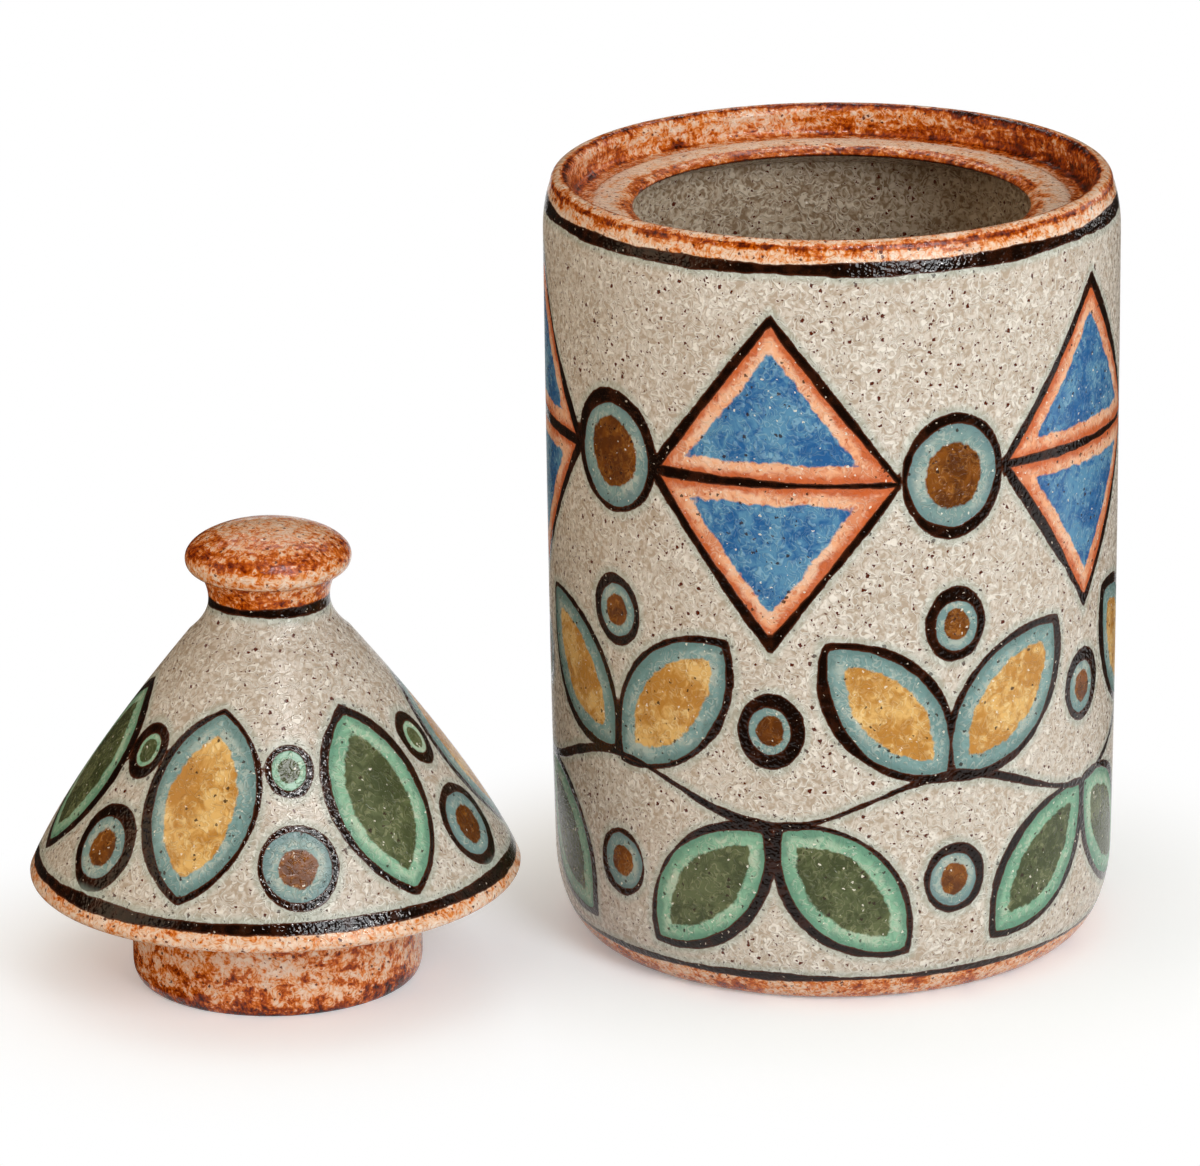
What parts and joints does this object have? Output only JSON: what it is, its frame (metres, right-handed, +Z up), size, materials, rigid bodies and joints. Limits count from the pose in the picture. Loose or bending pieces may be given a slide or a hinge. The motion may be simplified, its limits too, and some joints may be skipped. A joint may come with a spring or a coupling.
{
  "type": "lidded jar",
  "caption": "Cylindrical stoneware jar with a sunk gallery and a hollow conical lid with a disc knob, the lid standing beside it.",
  "frame": {"origin": "centre of the jar's flat base, on the surface it stands on", "axes": "+Z up along the jar's axis; -Y towards the viewer of the picture; the lid stands beside the jar towards -X and a little towards -Y"},
  "size_m": [0.3248, 0.1976, 0.2324],
  "materials": {
    "oatmeal_glaze": "satin oatmeal glaze with iron specks and brushed decoration",
    "salmon_glaze": "glossy salmon glaze breaking to rust brown",
    "bare_base": "bare fired stoneware, matt"
  },
  "bodies": {
    "jar": {"jar_base": "bare_base", "jar_wall": "oatmeal_glaze", "gallery_ring": "salmon_glaze"},
    "lid": {"lid_cone": "oatmeal_glaze", "lid_collar": "salmon_glaze", "lid_knob": "salmon_glaze"}
  },
  "joints": [
    {"name": "lid_lift", "type": "slide", "parent": "jar", "child": "lid", "axis": [0, 0, 1], "range_m": [0, 0.28]}
  ]
}
